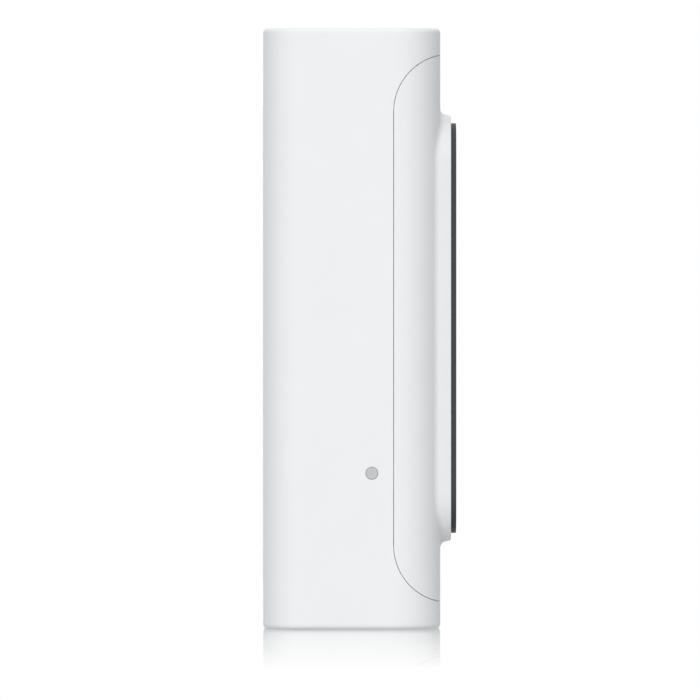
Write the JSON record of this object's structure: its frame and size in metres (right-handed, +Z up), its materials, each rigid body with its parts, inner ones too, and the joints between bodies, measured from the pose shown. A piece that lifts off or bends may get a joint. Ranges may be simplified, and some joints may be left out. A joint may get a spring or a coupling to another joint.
{
  "type": "video doorbell",
  "caption": "Deep white wall-mounted video doorbell with a raised black front panel, camera, motion window, bell button and hidden wall bracket.",
  "frame": {"origin": "centre of the rear face that lies against the wall, at mid-height and mid-width", "axes": "+Z up the wall, +Y into the wall, so the glass panel faces -Y, and +X to the right of someone facing it"},
  "size_m": [0.05, 0.0451, 0.14],
  "materials": {
    "white_shell": "fine matt moulded texture, cool white",
    "white_trim": "fine matt moulded texture, cool white",
    "black_glass": "polished back-printed black panel",
    "grey_button": "satin light grey",
    "black_rubber": "soft black elastomer",
    "foam_tape": "thin foam adhesive",
    "bracket_metal": "brushed and passivated sheet",
    "screw_steel": "zinc-plated",
    "screw_brass": "turned",
    "dark_plastic": "glass-filled black",
    "bezel_metal": "dark anodised, turned",
    "black_metal": "black anodised",
    "clear_glass": "polished, coated",
    "lens_glass": "polished, coated",
    "filter_glass": "polished",
    "circuit_board": "solder mask",
    "chip_black": "moulded epoxy",
    "led_resin": "clear resin over yellow phosphor",
    "motion_window": "dark translucent polyethylene",
    "can_steel": "tin-plated",
    "button_black": "satin black",
    "light_ring": "frosted light guide",
    "dome_silicone": "natural silicone",
    "spreader_aluminium": "rolled sheet",
    "connector_ivory": "nylon",
    "flex_film": "polyimide film",
    "copper": "bare copper",
    "vent_cloth": "expanded membrane",
    "cell_sleeve": "heat-shrink sleeve",
    "contact_nickel": "nickel-plated",
    "cone_paper": "coated fibre"
  },
  "bodies": {
    "housing": {"main_housing": "white_shell", "front_cover": "white_shell", "cover_seal": "black_rubber", "front_glass": "black_glass", "glass_adhesive": "foam_tape", "wall_bracket": "bracket_metal", "bracket_screw": "screw_steel", "cover_screws": "screw_steel", "chassis": "dark_plastic", "chassis_screws": "screw_steel", "board_screws": "screw_steel", "camera_bezel": "bezel_metal", "camera_window": "clear_glass", "camera_plate": "dark_plastic", "lens_barrel": "black_metal", "front_lens": "lens_glass", "lens_holder": "dark_plastic", "filter_coil": "copper", "sensor_board": "circuit_board", "image_sensor": "chip_black", "front_board": "circuit_board", "ir_leds": "led_resin", "ir_light_tubes": "black_rubber", "light_sensor": "led_resin", "pir_lens": "motion_window", "pir_sensor": "can_steel", "mic_boot": "black_rubber", "mic_module": "can_steel", "button_ring": "light_ring", "button_dome": "dome_silicone", "ring_leds": "led_resin", "light_baffle": "dark_plastic", "setup_switch": "can_steel", "side_board": "circuit_board", "main_board": "circuit_board", "soc_shield": "can_steel", "heat_spreader": "spreader_aluminium", "board_chips": "chip_black", "board_connectors": "connector_ivory", "camera_flex": "flex_film", "front_flex": "flex_film", "antenna": "copper", "vent_membrane": "vent_cloth", "terminal_block": "dark_plastic", "terminal_screws": "screw_brass", "battery_cells": "cell_sleeve", "battery_tray": "dark_plastic", "battery_contacts": "contact_nickel", "speaker_frame": "dark_plastic", "speaker_cone": "cone_paper", "speaker_magnet": "can_steel", "speaker_gasket": "foam_tape", "usb_socket": "can_steel", "usb_board": "circuit_board"},
    "bell_button": {"button_cap": "button_black"},
    "setup_key": {"setup_button": "grey_button", "setup_plunger": "dark_plastic"},
    "night_filter": {"filter_slider": "dark_plastic", "filter_panes": "filter_glass"},
    "port_door": {"usb_door": "white_trim"}
  },
  "joints": [
    {"name": "bell_press", "type": "slide", "parent": "housing", "child": "bell_button", "axis": [0, 1, 0], "range_m": [0, 0.0008], "stiffness_N_per_m": 3000, "springref_m": -0.0004, "deforming": ["button_dome"]},
    {"name": "setup_press", "type": "slide", "parent": "housing", "child": "setup_key", "axis": [1, 0, 0], "range_m": [0, 0.0004], "stiffness_N_per_m": 3000, "springref_m": -0.0002},
    {"name": "filter_slide", "type": "slide", "parent": "housing", "child": "night_filter", "axis": [-1, 0, 0], "range_m": [0, 0.0066]},
    {"name": "door_hinge", "type": "hinge", "parent": "housing", "child": "port_door", "pos_m": [0.0204, -0.02, -0.0687], "axis": [0, -1, 0], "range_deg": [0, 95]}
  ]
}
